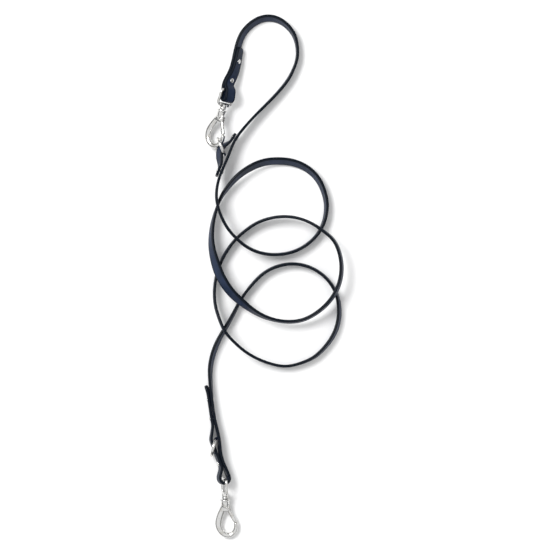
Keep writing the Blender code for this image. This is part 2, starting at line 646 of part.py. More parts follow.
def make_body(name, frame):
    """The cast hook: a collar on the swivel post, a forked yoke, and the open bow with its nose."""
    body = keep(plate(name, bow_outline(), BODY_THICKNESS, EDGE_ROUND, frame), NICKEL)
    yoke = [(x * MM, y * MM) for x, y in YOKE_OUTLINE]
    combine(body, plate(name + "_yoke", yoke, YOKE_THICKNESS, EDGE_ROUND / 2, frame), "UNION")
    combine(body, cylinder(name + "_collar", COLLAR_RADIUS, COLLAR_FACE_Y, COLLAR_END_Y, frame,
                           far_radius=COLLAR_END_RADIUS), "UNION")
    combine(body, cylinder(name + "_bore", BORE_RADIUS, 1 * MM, POCKET_Y[0] - 0.5 * MM, frame), "DIFFERENCE")
    combine(body, cylinder(name + "_pocket", POCKET_RADIUS, *POCKET_Y, frame), "DIFFERENCE")
    slot_middle = (PIN_PLACE[0] + YOKE_SLOT_ASIDE, YOKE_SLOT_TOP - YOKE_SLOT_SIZE[1] / 2, 0)
    combine(body, box(name + "_slot", (*YOKE_SLOT_SIZE, GATE_SLOT), slot_middle, frame), "DIFFERENCE")
    combine(body, cross_cylinder(name + "_pin_hole", PIN_HOLE_RADIUS, PIN_PLACE, PIN_HOLE_LENGTH, frame), "DIFFERENCE")


def make_gate(name, frame):
    """The sprung bar that shuts the bow: a round root on the pin, slotted for the spring."""
    start, end, along = gate_line()
    heading = math.degrees(math.atan2(along.y, along.x))
    outline = arc(start, GATE_ROOT_RADIUS, heading + 60, heading + 300, 9)
    outline += arc(end, GATE_HALF_WIDTH * 0.9, heading - 80, heading + 80, 5)
    gate = keep(plate(name, outline, GATE_THICKNESS, GATE_EDGE_ROUND, frame), NICKEL)
    put_origin(gate, (*PIN_PLACE, 0), frame)
    combine(gate, cross_cylinder(name + "_pin_hole", PIN_HOLE_RADIUS, PIN_PLACE, PIN_HOLE_LENGTH, frame), "DIFFERENCE")
    middle = start + along * (SPRING_SLOT_LENGTH / 2 - GATE_ROOT_RADIUS - SPRING_SLOT_OVERRUN)
    combine(gate, box(name + "_spring_slot", (SPRING_SLOT_LENGTH, 3 * GATE_ROOT_RADIUS, SPRING_SLOT), middle, frame,
                      turn=math.radians(heading)), "DIFFERENCE")


def make_spring(name, frame):
    """A torsion spring round the gate's pin, one leg on the gate and one on the yoke."""
    _, _, along = gate_line()
    gate_angle = math.atan2(along.y, along.x)
    per_turn = 10
    half_height = SPRING_TURNS * SPRING_PITCH / 2
    angles = gate_angle + math.pi / 2 + np.linspace(0, 2 * math.pi * SPRING_TURNS, per_turn * SPRING_TURNS + 1)
    heights = np.linspace(-half_height, half_height, len(angles))
    coil = [(PIN_PLACE[0] + SPRING_COIL_RADIUS * math.cos(a), PIN_PLACE[1] + SPRING_COIL_RADIUS * math.sin(a), z)
            for a, z in zip(angles, heights)]
    gate_leg = Vector(coil[0]) + along * 3 * MM
    item = poly_curve(name, [tuple(gate_leg)] + coil)
    item.data.bevel_depth = SPRING_WIRE_RADIUS
    item.data.bevel_resolution = 0
    item.data.use_fill_caps = True
    item.matrix_world = frame
    bpy.context.view_layer.update()
    keep(as_mesh(item), SPRING_STEEL)


def make_hook(prefix, eye_frame, body_frame):
    make_eye(prefix + "_swivel_eye", eye_frame)
    make_body(prefix + "_hook_body", body_frame)
    make_gate(prefix + "_gate", body_frame)
    make_spring(prefix + "_gate_spring", body_frame)
    keep(cross_cylinder(prefix + "_gate_pin", PIN_RADIUS, PIN_PLACE, PIN_LENGTH, body_frame, sides=12), NICKEL)


def make_hooks():
    """Each eye hangs on its fold's bar, and each body is turned about the swivel's axis."""
    heading = direction(UPPER_HOOK_YAW, UPPER_HOOK_PITCH)
    bar, wide = bar_place(True, UPPER_TAIL, UPPER_BAR_INSIDE)
    level = Vector((0, 0, 1)).cross(heading).normalized()
    rolled = Matrix.Rotation(math.radians(UPPER_BOW_ROLL), 3, heading) @ level
    make_hook("upper", hook_frame(bar, heading, -wide), hook_frame(bar, heading, rolled))

    heading = direction(LOWER_HOOK_YAW, LOWER_HOOK_PITCH)
    bar, wide = bar_place(False, LOWER_TAIL, -LOWER_BAR_OUTSIDE)
    level = Vector((0, 0, 1)).cross(heading).normalized()
    make_hook("lower", hook_frame(bar, heading, wide), hook_frame(bar, heading, level))


def centre_on_floor():
    for item in bpy.data.objects:
        item.matrix_world = Matrix.Translation(CENTRING) @ item.matrix_world


make_strap()
for rivet, where in RIVETS.items():
    make_rivet(rivet, where)
make_ring("handle_ring", HANDLE_RING, HANDLE_RING_YAW)
make_ring("lower_ring", LOWER_RING, LOWER_RING_YAW)
make_hooks()
centre_on_floor()
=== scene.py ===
"""Training leash: a two metre navy leather strap with riveted swivel snap hooks, rings and a clipped hand loop,
laid down in three loose coils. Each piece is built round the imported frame, in metres, +Z up."""

import json
import math

import bpy
import numpy as np
from bpy.props import FloatProperty, FloatVectorProperty, PointerProperty, StringProperty
from bpy.types import Operator, Panel, PropertyGroup
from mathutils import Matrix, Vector


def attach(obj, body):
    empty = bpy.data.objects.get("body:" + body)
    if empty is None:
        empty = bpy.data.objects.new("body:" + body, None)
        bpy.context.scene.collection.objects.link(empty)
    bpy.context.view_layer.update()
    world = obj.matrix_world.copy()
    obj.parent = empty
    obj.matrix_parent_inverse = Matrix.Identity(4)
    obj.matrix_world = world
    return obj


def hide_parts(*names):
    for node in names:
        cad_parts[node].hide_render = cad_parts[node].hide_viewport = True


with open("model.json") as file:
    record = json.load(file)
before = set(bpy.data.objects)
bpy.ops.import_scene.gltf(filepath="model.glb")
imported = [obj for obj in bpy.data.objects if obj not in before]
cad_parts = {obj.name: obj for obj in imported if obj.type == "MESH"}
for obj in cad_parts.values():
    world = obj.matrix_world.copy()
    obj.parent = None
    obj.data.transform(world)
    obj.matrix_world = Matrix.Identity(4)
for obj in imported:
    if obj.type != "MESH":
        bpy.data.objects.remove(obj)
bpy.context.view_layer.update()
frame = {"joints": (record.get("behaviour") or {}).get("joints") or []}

bl_info = {
    "name": "Training Leash",
    "version": (1, 0, 0),
    "blender": (4, 5, 0),
    "location": "3D View > Sidebar > Leash",
    "description": "Builds a navy leather training leash with nickel-plated snap hooks",
    "category": "Add Mesh",
}

MM = 0.001
JOINTS = {joint["name"]: joint for joint in frame["joints"]}

# ---- the strap's route, in metres: x, y, height of the lower edge, and lean in degrees ----
# The lean tips the upper edge to the left of the way along the strap, from the upper fold to the lower one.
ROUTE = (
    # upper fold and riveted end
    (-0.0581, 0.2215, 0.0124, 48), (-0.0571, 0.2304, 0.0119, 48), (-0.0557, 0.2395, 0.0108, 45),
    (-0.0515, 0.249, 0.008, 38), (-0.0472, 0.262, 0.0055, 30), (-0.0446, 0.2755, 0.0035, 25),
    (-0.0415, 0.2895, 0.0015, 23),
    # hand loop
    (-0.036, 0.3025, 0.0003, 22), (-0.026, 0.3135, 0, 22), (-0.015, 0.32, 0, 22),
    (-0.003, 0.322, 0, 21), (0.009, 0.319, 0, 17), (0.02, 0.311, 0, 12),
    (0.028, 0.2995, 0, 8), (0.0315, 0.286, 0, 4), (0.0315, 0.273, 0, 3),
    (0.0275, 0.2595, 0, 4), (0.02, 0.245, 0, 6), (0.01, 0.232, 0.0005, 6),
    (-0.001, 0.22, 0.0015, 5), (-0.013, 0.208, 0.003, 4), (-0.0255, 0.195, 0.005, 3),
    # past the tab that holds the handle ring
    (-0.036, 0.183, 0.0065, 3), (-0.0435, 0.173, 0.008, 3), (-0.049, 0.163, 0.0085, 2),
    (-0.0532, 0.1525, 0.009, 2), (-0.057, 0.143, 0.01, 2), (-0.0615, 0.1325, 0.012, 2),
    (-0.0655, 0.122, 0.0145, 2), (-0.0682, 0.1105, 0.017, 1), (-0.069, 0.0995, 0.019, 0),
    (-0.0675, 0.087, 0.02, 0),
    # first coil
    (-0.0625, 0.0725, 0.019, -1), (-0.0545, 0.058, 0.0173, -2), (-0.045, 0.047, 0.0165, -2),
    (-0.0325, 0.0365, 0.0125, -3), (-0.0165, 0.029, 0.008, -4), (0.001, 0.0262, 0.004, -4),
    (0.02, 0.028, 0.0015, -4), (0.037, 0.0345, 0.0003, -4), (0.051, 0.045, 0, -4),
    (0.061, 0.058, 0, -6), (0.0665, 0.073, 0, -9), (0.068, 0.0895, 0, -12),
    (0.0645, 0.1055, 0, -15), (0.0565, 0.1215, 0, -19), (0.043, 0.134, 0.0005, -23),
    (0.0265, 0.141, 0.002, -26), (0.008, 0.143, 0.004, -27), (-0.0105, 0.141, 0.0065, -26),
    (-0.0275, 0.134, 0.008, -23), (-0.0425, 0.1235, 0.008, -18), (-0.055, 0.11, 0.0065, -11),
    (-0.0635, 0.0975, 0.005, -4), (-0.0685, 0.0855, 0.004, 3),
    # second coil
    (-0.073, 0.07, 0.005, 9), (-0.0755, 0.053, 0.008, 16), (-0.075, 0.0355, 0.0118, 26),
    (-0.0715, 0.0195, 0.015, 37), (-0.0665, 0.0045, 0.0166, 43), (-0.059, -0.01, 0.017, 42),
    (-0.0495, -0.0225, 0.017, 38), (-0.038, -0.033, 0.0166, 31), (-0.025, -0.043, 0.015, 20),
    (-0.0105, -0.051, 0.0125, 12), (0.0055, -0.056, 0.01, 8), (0.0225, -0.0578, 0.009, 8),
    (0.0395, -0.055, 0.01, 8), (0.055, -0.047, 0.0125, 9), (0.0685, -0.0355, 0.015, 10),
    (0.079, -0.021, 0.0166, 11), (0.085, -0.005, 0.0173, 12), (0.0865, 0.012, 0.0176, 11),
    (0.0835, 0.0295, 0.0175, 9), (0.0765, 0.044, 0.017, 7), (0.065, 0.0545, 0.0164, 5),
    (0.05, 0.0645, 0.015, 3), (0.034, 0.071, 0.0125, 3), (0.0165, 0.0735, 0.01, 4),
    (-0.002, 0.0715, 0.007, 4), (-0.019, 0.0655, 0.004, 4), (-0.034, 0.0555, 0.0015, 4),
    (-0.0465, 0.044, 0, 4), (-0.057, 0.03, 0, 5), (-0.065, 0.014, 0, 5),
    # third coil
    (-0.07, -0.003, 0.0015, 4), (-0.072, -0.0205, 0.0045, 4), (-0.0705, -0.038, 0.009, 5),
    (-0.0655, -0.0545, 0.0135, 5), (-0.0585, -0.0695, 0.016, 4), (-0.048, -0.082, 0.0145, 3),
    (-0.0345, -0.094, 0.0105, 3), (-0.018, -0.104, 0.006, 3), (-0.001, -0.1105, 0.0025, 3),
    (0.017, -0.1135, 0.0003, 3), (0.035, -0.11, 0, 4), (0.052, -0.1025, 0, 7),
    (0.066, -0.09, 0, 10), (0.077, -0.0745, 0, 13), (0.083, -0.0575, 0, 14),
    (0.084, -0.0405, 0, 12), (0.0805, -0.023, 0, 8), (0.0715, -0.0075, 0, 5),
    (0.059, 0.004, 0, 4), (0.0425, 0.012, 0, 4), (0.0245, 0.0145, 0, 4),
    (0.0055, 0.011, 0, 4), (-0.012, 0.0015, 0, 4), (-0.0255, -0.012, 0, 3),
    (-0.0375, -0.028, 0, -2), (-0.047, -0.0455, 0, -6), (-0.0575, -0.0645, 0, -10),
    # lower run, riveted end and lower fold
    (-0.0665, -0.0805, 0, -14), (-0.0735, -0.098, 0, -15), (-0.077, -0.1155, 0.0003, -12),
    (-0.077, -0.133, 0.0009, -7), (-0.0755, -0.15, 0.0014, -2), (-0.0732, -0.169, 0.002, 2),
    (-0.07, -0.187, 0.0035, 5), (-0.0665, -0.2035, 0.0044, 8), (-0.065, -0.2195, 0.0045, 11),
    (-0.062, -0.233, 0.0052, 14), (-0.0575, -0.2435, 0.0051, 15), (-0.0545, -0.2512, 0.0048, 15),
)
# Clear space between two layers in millimetres, against the distance from the fold or from the tab's start.
UPPER_TAIL = ((0, 5.2), (9, 5.4), (11, 4.6), (14.5, 0.9), (17, 0.35), (58, 0.35), (66, 0.6))
LOWER_TAIL = ((0, 8.9), (5, 7.6), (10, 3.5), (14, 0.6), (17, 0.35), (23, 0.35), (28, 1.1), (32, 2.1), (39, 3.9),
              (46, 6.1), (50, 6.4), (54, 5.4), (60, 3.0), (66, 0.8), (70, 0.35), (104, 0.35), (110, 1.0),
              (117, 2.4))
TAB_SPACE = ((0, 0.4), (3, 0.35), (10, 0.4), (13, 2.0), (19, 6.9), (24, 8.8), (29, 8.2), (35, 5.4), (42, 1.4),
             (46, 0.35), (54, 0.35), (57, 0.4))
# The tab starts this far along from a point of the route, and its rivets are placed from that start.
TAB_FROM_POINT, TAB_START, TAB_LENGTH = 23, -2 * MM, 57 * MM
RIVETS = {"upper_rivet_1": 22.6 * MM, "upper_rivet_2": 48 * MM, "tab_rivet_1": 5 * MM, "tab_rivet_2": 50 * MM,
          "lower_rivet_1": 19.5 * MM, "lower_rivet_2": 75 * MM, "lower_rivet_3": 99 * MM}
# Moves the route so that the origin lies under the middle of the leash's box.
CENTRING = np.array((-2.35, 1.6, 0)) * MM

STRAP_NODES = ("strap_handle_end", "strap_handle_loop", "strap_ring_run", "strap_coil_1", "strap_coil_2",
               "strap_coil_3", "strap_lower_run", "strap_lower_end")
STRAP_STEP = 2 * MM
# Lean of the ring tab's free middle in degrees, and the distances in millimetres over which it comes and goes.
TAB_LEAN, TAB_LEAN_PLACES = 25, (10, 21, 35, 47)
FOLD_STEPS = 17
# The way along the strap is read from places this far ahead and behind.
LOOK_AHEAD = 0.5 * MM
LAYER_SMOOTHING, LAYER_SAMPLES = 2.5 * MM, 9
# The section of a leather bar: points across a face, down a side and round a corner.
FACE_POINTS, SIDE_POINTS, CORNER_POINTS = 9, 3, 4
FACE_CROWN = 0.05 * MM
# Rows crowd together at these distances from a cut end, in millimetres, to carry its rounding.
END_ROWS = (0, 0.1, 0.3, 0.6, 1.0, 1.5, 2.2, 3.0, 4.0, 5.0)
END_ZONE = 6 * MM
STRAP_END_ROUND, TAB_END_ROUND = 5.5 * MM, 3.5 * MM
EDGE_BURNISH, END_BURNISH = 0.9 * MM, 1.2 * MM

# ---- rivets and rings ----
# How far a rivet's head is pressed into the leather, and the share of its dome that is upright rim.
RIVET_SINK, RIVET_RIM, DOME_POINTS = 0.1 * MM, 0.25, 9
# The foot of the head, in shares of its radius and dome.
RIVET_FOOT = ((1, 0.1), (0.94, 0), (0.4, 0))
RING_ROWS, RING_SECTION = 120, 28
# A ring's butt weld: its angle and width in radians, and its rise as a share of the wire.
WELD_ANGLE, WELD_WIDTH, WELD_RISE = 2.4, 0.06, 0.05
# Points round a lathe: collars and bosses, posts and rivets, and the gate's pin.
WIDE_LATHE, NARROW_LATHE, PIN_LATHE = 48, 40, 32

# ---- the snap hook, in millimetres of its own frame: -Y runs from the eye to the bow, Y = 0 is the swivel ----
EYE_HALF_WIDTH, EYE_LOW, EYE_HIGH, EYE_CORNER = 10.6, 6.0, 25.0, 4.0
EYE_BASE_CENTRE, EYE_BASE_HALF, EYE_BASE_POWER = (0, EYE_LOW + 0.1, 0), (8.6, 2.7, 2.8), 3.6
# Centre line of the bow from the yoke round to the nose: x, y and half width.
BOW_LINE = (
    (-1.0, -7.0, 3.6), (-3.4, -12.5, 3.6), (-6.2, -19.0, 3.9), (-8.6, -26.0, 4.2), (-9.4, -33.0, 4.1),
    (-7.4, -40.0, 3.7), (-2.8, -45.0, 3.4), (2.6, -46.7, 3.3), (7.8, -45.0, 3.1), (11.3, -40.8, 2.9),
    (12.6, -36.0, 2.7), (12.5, -32.2, 2.6),
)
BOW_HALF_THICKNESS, BOW_POWER, BOW_ROWS, BOW_SECTION = 3.2, 2.05, 96, 40
# How far the nose and the gate go on past the ends of their lines.
NOSE_REACH, GATE_REACH, NOSE_ROWS = 2.8, 2.2, 7
# Radius of the rounded ends of the bow and the gate, and the least squared share of the section left there.
BOW_END, GATE_END = (2.0, 0.02), (1.4, 0.03)
YOKE_CENTRE, YOKE_HALF, YOKE_POWER = (0.6, -11.0, 0), (6.0, 5.6, 3.8), 3.4
# A superellipse of the first power is a circle, and a superellipsoid of the second a block for cutting slots.
CIRCLE_POWER, BLOCK_POWER = 2, 40
YOKE_SLOT_CENTRE, YOKE_SLOT_HALF = (7.0, -15.4, 0), (7.2, 7.0, 2.5)
SPRING_SLOT_HALF, SPRING_SLOT_AHEAD = (3.6, 4.0, 1.2), 1.2
PIN_PLACE = (3.0, -11.6)
GATE_TIP = (10.8, -27.5)
COLLAR = ((0, -0.3), (5.4, -0.3), (5.95, -0.7), (6.1, -1.6), (5.95, -2.5), (5.45, -2.95), (5.4, -3.4),
          (5.3, -6.0), (4.8, -10.0), (3.6, -11.6), (0, -12.0))
BOSS = ((0, 7.4), (3.4, 7.2), (4.1, 6.4), (4.2, 3.4), (3.9, 2.9), (4.2, 2.4), (4.2, 1.0), (3.8, 0.4), (0, 0.3))
POST = ((0, 2.0), (2.2, 2.0), (2.2, -5.9), (3.1, -5.95), (3.1, -7.1), (2.8, -7.3), (0, -7.4))
BORE = ((0, 1.0), (2.5, 1.0), (2.5, -5.6), (3.5, -5.6), (3.5, -8.2), (0, -8.2))
GATE_HALF_THICKNESS, GATE_ROOT_HALF_WIDTH, GATE_WIDENING = 2.15, 2.2, 0.2
GATE_POWER, GATE_ROWS, GATE_SECTION = 2.6, 40, 28
GATE_ROOT = ((0, 2.2), (2.0, 2.2), (2.3, 1.9), (2.3, -1.9), (2.0, -2.2), (0, -2.2))
PIN_END = ((0, 4.25), (0.6, 4.2), (1.05, 4.0), (1.25, 3.75), (1.25, 3.6), (0.8, 3.6))
COIL_RADIUS, COIL_WIRE, COIL_TURNS, COIL_HALF_HEIGHT, COIL_LEG, COIL_LEG_END = 1.6, 0.2, 3, 0.75, 3, 0.3
COIL_ROWS, COIL_LEG_ROWS, COIL_SECTION = 97, 10, 10
# Voxels that fuse the castings, in metres, and the passes of smoothing that buff them.
EYE_VOXEL, BODY_VOXEL, GATE_VOXEL = 0.26 * MM, 0.28 * MM, 0.22 * MM
CASTING_PASSES, GATE_PASSES = 3, 2
SHARP_ANGLE = math.radians(38)

# ---- the studio ----
KEY_DIRECTION, KEY_DISTANCE, KEY_SIZE = (-0.5, 0.4, 1.0), 3.6, 1.6
# The camera's height is measured from a little above the floor.
SENSOR_WIDTH, SUBJECT_HEIGHT = 36, 10 * MM
# The room's brightness against the sine of the height above the horizon.
ROOM_STOPS = ((0, "141517"), (0.3, "9A9A9A"), (0.46, "8C8E90"), (0.6, "FFFFFF"), (0.84, "F2F2F2"), (1, "FFFFFF"))


class LeashLeather(PropertyGroup):
    width: FloatProperty(
        name="Width", description="Width of the strap", default=0.015, min=0.005, subtype="DISTANCE", unit="LENGTH")
    thickness: FloatProperty(
        name="Thickness", description="Thickness of one layer of the strap", default=0.0035, min=0.001,
        subtype="DISTANCE", unit="LENGTH")
    edge_round: FloatProperty(
        name="Edge rounding", description="Radius of the burnished edges", default=0.0012,
        subtype="DISTANCE", unit="LENGTH")
    grain: FloatProperty(
        name="Grain size", description="Width of one cell of the leather's grain", default=0.0009,
        subtype="DISTANCE", unit="LENGTH")
    face: StringProperty(name="Face colour", description="Colour of the dyed face, as sRGB hex", default="28334A")
    deep: StringProperty(name="Shade colour", description="Colour of the darker patches", default="1C2636")
    edge: StringProperty(name="Edge colour", description="Colour of the burnished edges", default="0A111A")


class LeashMetal(PropertyGroup):
    rivet_radius: FloatProperty(
        name="Rivet radius", description="Radius of a rivet's head", default=0.0029, subtype="DISTANCE", unit="LENGTH")
    rivet_dome: FloatProperty(
        name="Rivet dome", description="Height of a rivet's head", default=0.0013, subtype="DISTANCE", unit="LENGTH")
    ring_radius: FloatProperty(
        name="Ring radius", description="Radius of a ring's centre line", default=0.011,
        subtype="DISTANCE", unit="LENGTH")
    ring_wire: FloatProperty(
        name="Ring wire radius", description="Radius of a ring's wire", default=0.0018,
        subtype="DISTANCE", unit="LENGTH")
    eye_wire: FloatProperty(
        name="Eye wire radius", description="Radius of the swivel eye's wire", default=0.0018,
        subtype="DISTANCE", unit="LENGTH")
    nickel: StringProperty(
        name="Nickel colour", description="Colour of the nickel plate, as sRGB hex", default="DCDCDB")
    haze: StringProperty(
        name="Haze colour", description="Colour of the plate where it is hazed by handling", default="C6C3BD")
    drawn: StringProperty(
        name="Die mark colour", description="Colour of the darker marks along the spring wire", default="7F7D79")
    steel: StringProperty(name="Spring colour", description="Colour of the spring wire, as sRGB hex", default="A3A19C")


class LeashStage(PropertyGroup):
    floor: StringProperty(name="Floor colour", description="Colour of the paper floor, as sRGB hex", default="F4F4F4")
    floor_size: FloatProperty(
        name="Floor size", description="Side of the floor", default=8.0, subtype="DISTANCE", unit="LENGTH")
    camera_height: FloatProperty(
        name="Camera height", description="Height of the camera over the leash", default=3.0,
        subtype="DISTANCE", unit="LENGTH")
    view_width: FloatProperty(
        name="View width", description="Width that the camera sees at the leash", default=0.6875,
        subtype="DISTANCE", unit="LENGTH")
    view_centre: FloatVectorProperty(
        name="View centre", description="Point under the camera", size=2, default=(0.0014, 0.0022),
        subtype="XYZ", unit="LENGTH")
    key_power: FloatProperty(name="Key light", description="Power of the soft key light", default=104.0, unit="POWER")
    sky_strength: FloatProperty(name="Surround", description="Strength of the studio's surround", default=1.0)


# ---- arithmetic of curves and surfaces ----


def unit(vectors):
    """Each vector over its own length."""
    return vectors / np.linalg.norm(vectors, axis=-1, keepdims=True)


def natural_spline(knots, values, at):
    """A natural cubic spline: on each span, the cubic whose second derivatives meet at the knots and vanish
    at both ends."""
    span = np.diff(knots)
    rise = np.diff(values, axis=0) / span[:, None]
    count = len(knots)
    system = np.eye(count)
    right = np.zeros_like(values)
    for row in range(1, count - 1):
        system[row, row - 1 : row + 2] = span[row - 1], 2 * (span[row - 1] + span[row]), span[row]
        right[row] = 6 * (rise[row] - rise[row - 1])
    bend = np.linalg.solve(system, right)
    left = np.clip(np.searchsorted(knots, at) - 1, 0, count - 2)
    wide = span[left][:, None]
    after = (at - knots[left])[:, None]
    before = wide - after
    cubic = (bend[left] * before**3 + bend[left + 1] * after**3) / (6 * wide)
    low = (values[left] / wide - bend[left] * wide / 6) * before
    high = (values[left + 1] / wide - bend[left + 1] * wide / 6) * after
    return cubic + low + high


def through(line, count):
    """Evenly spaced rows of a natural spline through the line's rows, its first two columns being the place."""
    values = np.array(line, float)
    knots = distances_along(values[:, :2])
    return natural_spline(knots, values, np.linspace(0, knots[-1], count))


def distances_along(points):
    """Each point's distance from the first one, summed along the line."""
    return np.concatenate([[0], np.cumsum(np.linalg.norm(np.diff(points, axis=0), axis=1))])


def full_turn(count):
    """Even angles round a full turn, in radians."""
    return np.linspace(0, 2 * math.pi, count, endpoint=False)


def squared_off(values, power):
    """Cosines or sines with their size raised to 2 / power and their sign kept."""
    return np.sign(values) * np.abs(values) ** (2 / power)


def superellipse(power, count):
    """Points where |x|^power + |y|^power = 1."""
    angle = full_turn(count)
    return squared_off(np.cos(angle), power), squared_off(np.sin(angle), power)


def swept(points, wide, across, through_face):
    """Row i is the section with its first coordinate along the width direction and its second along the face
    normal, put at point i. Both coordinates may differ from row to row."""
    along = unit(np.gradient(points, axis=0))
    width = unit(wide - along * np.sum(wide * along, axis=1, keepdims=True))
    normal = np.cross(width, along)
    return points[:, None] + width[:, None] * across[..., None] + normal[:, None] * through_face[..., None]


def lathe(profile, count, axis=1):
    """Row i is the circle of radius r at height h, for each (r, h) of the profile, about the chosen axis."""
    radius, height = np.array(profile, float).T
    angle = full_turn(count)
    ring = [radius[:, None] * np.cos(angle), radius[:, None] * np.sin(angle)]
    ring.insert(axis, np.repeat(height[:, None], count, axis=1))
    return np.stack(ring, axis=-1)


def rounded_profile(profile, steps=4):
    """The profile with three points put in each side, so that the smoothed lathe keeps its steps."""
    points = np.array(profile, float)
    share = np.linspace(0, 1, steps, endpoint=False)[:, None]
    runs = [a + (b - a) * share for a, b in zip(points, points[1:])]
    return np.vstack([*runs, points[-1:]])


def both_ends(profile):
    """A lathe profile from one pole to the waist, then its mirror image back to the other pole."""
    return [*profile, *((radius, -height) for radius, height in profile[::-1])]


def rounded_block(centre, half, power, rows=24, columns=48):
    """A superellipsoid: latitude and longitude with their cosines and sines raised to 2 / power."""
    latitude = np.linspace(-math.pi / 2, math.pi / 2, rows)[:, None]
    level = squared_off(np.cos(latitude), power)
    x, z = superellipse(power, columns)
    y = squared_off(np.sin(latitude), power) * np.ones(columns)
    return np.stack([level * x, y, level * z], axis=-1) * half + centre


# ---- meshes ----


def shell_arrays(grid, closed_rows):
    """Vertices and faces of a grid whose columns join up. Open rows are closed with a point at each end."""
    rows, columns = grid.shape[:2]
    vertices = grid.reshape(-1, 3)
    row = np.arange(rows if closed_rows else rows - 1)[:, None]
    column = np.arange(columns)[None]
    beyond, beside = (row + 1) % rows, (column + 1) % columns
    quads = np.stack([row * columns + column, row * columns + beside, beyond * columns + beside,
                      beyond * columns + column], axis=-1).reshape(-1, 4)
    triangles = np.empty((0, 3), int)
    if not closed_rows:
        vertices = np.vstack([vertices, grid[0].mean(axis=0), grid[-1].mean(axis=0)])
        ring, after, base = column[0], beside[0], (rows - 1) * columns
        low = np.column_stack([np.full(columns, rows * columns), after, ring])
        high = np.column_stack([np.full(columns, rows * columns + 1), base + ring, base + after])
        triangles = np.vstack([low, high])
    split = np.vstack([quads[:, :3], quads[:, [0, 2, 3]], triangles])
    if np.sum(np.linalg.det(vertices[split])) < 0:
        quads, triangles = quads[:, ::-1], triangles[:, ::-1]
    return vertices, quads, triangles


def make_piece(name, shells, material=None):
    """One mesh object at the origin from several closed shells, each a grid and whether its rows join up."""
    vertices, quads, triangles, offset = [], [], [], 0
    for grid, closed_rows in shells:
        v, q, t = shell_arrays(grid, closed_rows)
        vertices.append(v)
        quads.append(q + offset)
        triangles.append(t + offset)
        offset += len(v)
    mesh = bpy.data.meshes.new(name)
    faces = np.vstack(quads).tolist() + np.vstack(triangles).tolist()
    mesh.from_pydata(np.vstack(vertices).tolist(), [], faces)
    mesh.polygons.foreach_set("use_smooth", np.ones(len(mesh.polygons), bool))
    piece = bpy.data.objects.new(name, mesh)
    bpy.context.scene.collection.objects.link(piece)
    if material:
        mesh.materials.append(material)
    return piece


def set_attribute(piece, name, values):
    """Gives each vertex of the piece a number that its material can read."""
    attribute = piece.data.attributes.new(name, "FLOAT", "POINT")
    attribute.data.foreach_set("value", np.asarray(values, np.float32))


def finished(piece, voxel, smoothing, cutters=()):
    """The piece's shells fused into one casting by a voxel remesh, smoothed and then cut, with no modifier left."""
    remesh = piece.modifiers.new("fuse", "REMESH")
    remesh.mode = "VOXEL"
    remesh.voxel_size = voxel
    remesh.use_smooth_shade = True
    smooth = piece.modifiers.new("polish", "SMOOTH")
    smooth.factor = 0.5
    smooth.iterations = smoothing
    for cutter in cutters:
        cut = piece.modifiers.new("cut", "BOOLEAN")
        cut.operation = "DIFFERENCE"
        cut.object = cutter
        cut.solver = "EXACT"
    graph = bpy.context.evaluated_depsgraph_get()
    baked = bpy.data.meshes.new_from_object(piece.evaluated_get(graph))
    piece.modifiers.clear()
    materials = list(piece.data.materials)
    piece.data = baked
    baked.materials.clear()
    for material in materials:
        baked.materials.append(material)
    for cutter in cutters:
        bpy.data.objects.remove(cutter)
    baked.polygons.foreach_set("use_smooth", np.ones(len(baked.polygons), bool))
    baked.set_sharp_from_angle(angle=SHARP_ANGLE)
    return piece


# ---- materials ----


def linear(hex_colour):
    """Linear RGBA of an sRGB hex colour."""
    channels = [int(hex_colour[i : i + 2], 16) / 255 for i in (0, 2, 4)]
    return (*[c / 12.92 if c <= 0.04045 else ((c + 0.055) / 1.055) ** 2.4 for c in channels], 1)


def set_inputs(tree, node, inputs=None, links=None):
    """Gives a node's inputs their values, and links the others from another node's output."""
    for key, value in (inputs or {}).items():
        node.inputs[key].default_value = value
    for key, (source, output) in (links or {}).items():
        tree.links.new(source.outputs[output], node.inputs[key])


def add_node(tree, kind, inputs=None, links=None, **settings):
    """Adds a shader node, sets its properties, then its inputs."""
    node = tree.nodes.new("ShaderNode" + kind)
    for key, value in settings.items():
        setattr(node, key, value)
    set_inputs(tree, node, inputs, links)
    return node


def new_material(name):
    """A node material, its node tree, its shader and the link that gives a pattern its place on the object."""
    material = bpy.data.materials.new(name)
    material.use_nodes = True
    tree = material.node_tree
    return material, tree, tree.nodes["Principled BSDF"], {"Vector": (add_node(tree, "TexCoord"), "Object")}


